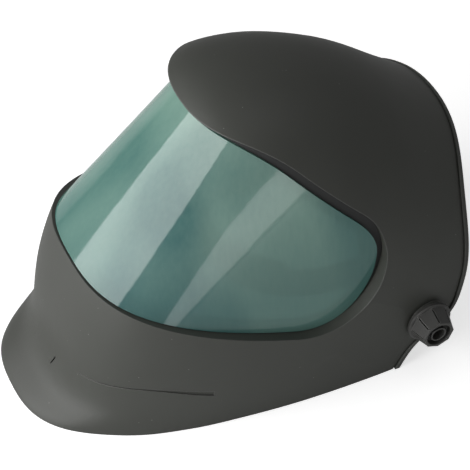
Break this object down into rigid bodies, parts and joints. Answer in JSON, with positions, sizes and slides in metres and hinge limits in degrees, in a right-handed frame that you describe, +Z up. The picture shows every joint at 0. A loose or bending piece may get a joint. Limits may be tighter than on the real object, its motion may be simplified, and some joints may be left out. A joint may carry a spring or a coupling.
{
  "type": "welding helmet",
  "caption": "Full-face welding helmet with a wide wrap-round tinted visor, flared chin and an adjustable headgear on friction pivots.",
  "frame": {"origin": "on the ground plane under the middle of the overall box, standing on the shell's bottom rim", "axes": "+Z up, the visor looks along -Y, the wearer's left is +X"},
  "size_m": [0.2712, 0.3675, 0.254],
  "materials": {
    "shell_plastic": "fine matt grain, near black",
    "visor_tint": "green-blue tinted, glossy",
    "rubber_black": "matt",
    "frame_plastic": "matt",
    "knob_plastic": "satin, moulded",
    "nylon": "natural nylon",
    "steel": "zinc plated",
    "brass": "plain",
    "headgear_plastic": "flexible, matt",
    "sweat_cloth": "padded cotton cloth"
  },
  "bodies": {
    "shell": {"shell": "shell_plastic", "visor": "visor_tint", "visor_seal": "rubber_black", "visor_frame": "frame_plastic", "frame_clips": "frame_plastic", "pivot_bush_left": "nylon", "pivot_bush_right": "nylon", "outer_washer_left": "nylon", "outer_washer_right": "nylon", "inner_washer_left": "nylon", "inner_washer_right": "nylon"},
    "pivots": {"stop_disc_left": "frame_plastic", "stop_disc_right": "frame_plastic", "pivot_bolt_left": "steel", "pivot_bolt_right": "steel", "slide_block_left": "nylon", "slide_block_right": "nylon"},
    "left_knob": {"tension_knob_left": "knob_plastic", "knob_insert_left": "brass"},
    "right_knob": {"tension_knob_right": "knob_plastic", "knob_insert_right": "brass"},
    "headgear": {"headband": "headgear_plastic", "side_arm_left": "headgear_plastic", "side_arm_right": "headgear_plastic", "arm_rivets": "steel", "sweatband": "sweat_cloth", "crown_rivets": "steel"},
    "crown": {"crown_strap_left": "headgear_plastic", "crown_strap_right": "headgear_plastic", "crown_stud": "frame_plastic"},
    "rear_unit": {"ratchet_housing": "headgear_plastic", "ratchet_cover": "frame_plastic", "detent_ring": "nylon", "rear_pad": "sweat_cloth"},
    "ratchet": {"ratchet_knob": "knob_plastic", "ratchet_pinion": "nylon"},
    "left_tail": {"rack_tail_left": "headgear_plastic"},
    "right_tail": {"rack_tail_right": "headgear_plastic"}
  },
  "joints": [
    {"name": "tilt", "type": "hinge", "parent": "shell", "child": "pivots", "pos_m": [0, 0.122, 0.048], "axis": [1, 0, 0], "range_deg": [-30, 32]},
    {"name": "left_knob_turn", "type": "hinge", "parent": "pivots", "child": "left_knob", "pos_m": [0.125, 0.122, 0.048], "axis": [1, 0, 0], "continuous": true},
    {"name": "right_knob_turn", "type": "hinge", "parent": "pivots", "child": "right_knob", "pos_m": [-0.125, 0.122, 0.048], "axis": [-1, 0, 0], "continuous": true},
    {"name": "fore_aft", "type": "slide", "parent": "pivots", "child": "headgear", "axis": [0, 1, 0], "range_m": [0, 0.016]},
    {"name": "crown_swing", "type": "hinge", "parent": "headgear", "child": "crown", "pos_m": [0, 0.088, 0.092], "axis": [1, 0, 0], "range_deg": [-15, 15]},
    {"name": "rear_fit", "type": "slide", "parent": "headgear", "child": "rear_unit", "axis": [0, 1, 0], "range_m": [0, 0.0182]},
    {"name": "ratchet_turn", "type": "hinge", "parent": "rear_unit", "child": "ratchet", "pos_m": [0, 0.168, 0.084], "axis": [0, 1, 0], "range_deg": [0, 163.64]},
    {"name": "left_tail_turn", "type": "hinge", "parent": "rear_unit", "child": "left_tail", "pos_m": [0, 0.088, 0.084], "axis": [0, 0, 1], "range_deg": [-14.27, 0]},
    {"name": "right_tail_turn", "type": "hinge", "parent": "rear_unit", "child": "right_tail", "pos_m": [0, 0.088, 0.084], "axis": [0, 0, 1], "range_deg": [0, 14.27]}
  ],
  "couplings": [
    {"joint": "rear_fit", "follows": "ratchet_turn", "m_per_rad": 0.0063025},
    {"joint": "left_tail_turn", "follows": "ratchet_turn", "ratio": -0.086573},
    {"joint": "right_tail_turn", "follows": "ratchet_turn", "ratio": 0.086573}
  ]
}
